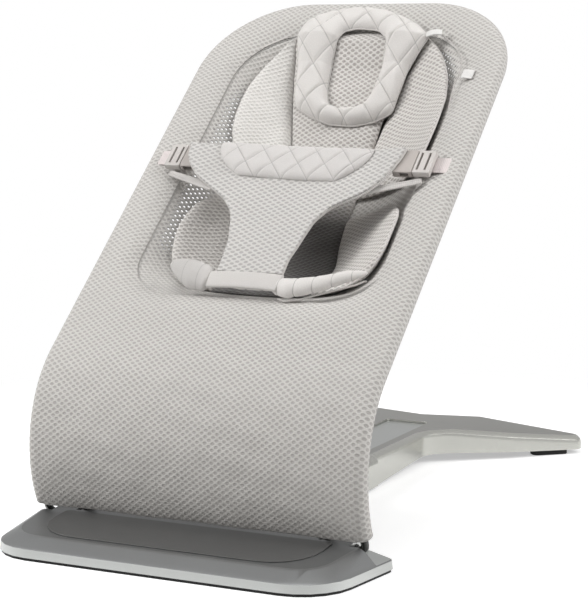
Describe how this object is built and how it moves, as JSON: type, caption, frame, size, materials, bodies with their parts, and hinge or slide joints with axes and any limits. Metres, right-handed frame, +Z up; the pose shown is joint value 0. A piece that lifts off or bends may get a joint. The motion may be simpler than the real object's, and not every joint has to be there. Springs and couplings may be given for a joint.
{
  "type": "baby bouncer",
  "caption": "Baby bouncer with a sprung mesh seat on a tube frame, a newborn insert with a pillow ring, a buckled harness, and a metal floor stand that folds flat.",
  "frame": {"origin": "centre of the bounding box at the floor", "axes": "+Z up, -Y towards the front where the baby's feet lie, +X to the viewer's right when facing the seat"},
  "size_m": [0.4432, 0.8131, 0.6007],
  "materials": {
    "silver": "satin silver coat on die-cast aluminium",
    "dark_silver": "satin dark grey coat",
    "black": "black powder coat",
    "black_plastic": "black moulded plastic",
    "rubber": "matte moulded rubber",
    "plastic": "satin moulded plastic",
    "mesh_fabric": "light grey spacer mesh",
    "insert_fabric": "light grey padded mesh",
    "cream": "pale quilted woven fabric",
    "webbing": "pale woven webbing",
    "steel": "plain zinc-coated steel"
  },
  "bodies": {
    "base": {"front_plate": "silver", "plate_inlay": "dark_silver", "base_pan": "black_plastic", "rubber_seal": "rubber", "axle_block_left": "black_plastic", "axle_block_right": "black_plastic", "rod_bush_left": "black_plastic", "rod_bush_right": "black_plastic", "spine_sleeve": "silver", "spine_pan": "black_plastic", "track_panel": "silver", "rear_leg": "silver", "rear_leg_cover": "black_plastic", "rear_pad_left": "rubber", "rear_pad_right": "rubber", "leg_joiner": "steel", "joiner_screw_left": "steel", "joiner_screw_right": "steel"},
    "support_frame": {"pivot_axle": "steel", "support_arm_left": "black", "support_arm_right": "black", "strut_pin_left": "steel", "strut_pin_right": "steel"},
    "strut": {"strut_left": "black", "strut_right": "black", "foot_pin": "steel"},
    "slider": {"slider_shoe": "plastic"},
    "release_button": {"recline_button": "silver"},
    "seat": {"frame_tube": "steel", "spring_rod_left": "black", "spring_rod_right": "black", "seat_cover": "mesh_fabric", "well_piping": "mesh_fabric", "seat_well": "mesh_fabric", "insert_back": "insert_fabric", "insert_upper_wing_left": "insert_fabric", "insert_upper_wing_right": "insert_fabric", "insert_lower_wing_left": "insert_fabric", "insert_lower_wing_right": "insert_fabric", "front_roll": "cream", "head_pillow": "cream", "harness_panel": "mesh_fabric", "harness_strap_left": "cream", "harness_strap_right": "cream", "waist_pad": "cream", "crotch_band": "cream", "side_label": "cream", "webbing_left": "webbing", "webbing_right": "webbing", "buckle_female_left": "plastic", "buckle_female_right": "plastic"},
    "buckle_left": {"buckle_male_left": "plastic"},
    "prong_upper_left": {"buckle_prong_upper_left": "plastic"},
    "prong_lower_left": {"buckle_prong_lower_left": "plastic"},
    "buckle_right": {"buckle_male_right": "plastic"},
    "prong_upper_right": {"buckle_prong_upper_right": "plastic"},
    "prong_lower_right": {"buckle_prong_lower_right": "plastic"}
  },
  "joints": [
    {"name": "seat_recline", "type": "hinge", "parent": "base", "child": "support_frame", "pos_m": [0, -0.2839, 0.0224], "axis": [1, 0, 0], "range_deg": [-35.7, 0]},
    {"name": "strut_fold", "type": "hinge", "parent": "support_frame", "child": "strut", "pos_m": [0, -0.17597, 0.24234], "axis": [1, 0, 0], "range_deg": [0, 75.2]},
    {"name": "shoe_level", "type": "hinge", "parent": "strut", "child": "slider", "pos_m": [0, -0.07828, 0.0525], "axis": [1, 0, 0], "range_deg": [-39.4, 0]},
    {"name": "button_press", "type": "slide", "parent": "slider", "child": "release_button", "axis": [0, 0, -1], "range_m": [0, 0.0018], "stiffness_N_per_m": 600, "springref_m": -0.001},
    {"name": "seat_bounce", "type": "hinge", "parent": "support_frame", "child": "seat", "pos_m": [0, -0.2839, 0.0224], "axis": [1, 0, 0], "range_deg": [-3, 2.5], "stiffness_Nm_per_rad": 320, "springref_deg": 0.88},
    {"name": "buckle_release_left", "type": "slide", "parent": "seat", "child": "buckle_left", "axis": [-1, 0, 0], "range_m": [0, 0.022]},
    {"name": "prong_bend_upper_left", "type": "hinge", "parent": "buckle_left", "child": "prong_upper_left", "pos_m": [-0.1501, -0.03797, 0.42275], "axis": [0, 0.6658, -0.7462], "range_deg": [0, 8], "stiffness_Nm_per_rad": 0.05},
    {"name": "prong_bend_lower_left", "type": "hinge", "parent": "buckle_left", "child": "prong_lower_left", "pos_m": [-0.1501, -0.05543, 0.40718], "axis": [0, -0.6658, 0.7462], "range_deg": [0, 8], "stiffness_Nm_per_rad": 0.05},
    {"name": "buckle_release_right", "type": "slide", "parent": "seat", "child": "buckle_right", "axis": [1, 0, 0], "range_m": [0, 0.022]},
    {"name": "prong_bend_upper_right", "type": "hinge", "parent": "buckle_right", "child": "prong_upper_right", "pos_m": [0.1501, -0.03797, 0.42275], "axis": [0, -0.6658, 0.7462], "range_deg": [0, 8], "stiffness_Nm_per_rad": 0.05},
    {"name": "prong_bend_lower_right", "type": "hinge", "parent": "buckle_right", "child": "prong_lower_right", "pos_m": [0.1501, -0.05543, 0.40718], "axis": [0, 0.6658, -0.7462], "range_deg": [0, 8], "stiffness_Nm_per_rad": 0.05}
  ],
  "couplings": [
    {"joint": "strut_fold", "follows": "seat_recline", "ratio": -2.0963},
    {"joint": "shoe_level", "follows": "seat_recline", "ratio": 1.0963},
    {"joint": "prong_bend_lower_left", "follows": "prong_bend_upper_left", "ratio": 1},
    {"joint": "prong_bend_lower_right", "follows": "prong_bend_upper_right", "ratio": 1}
  ]
}
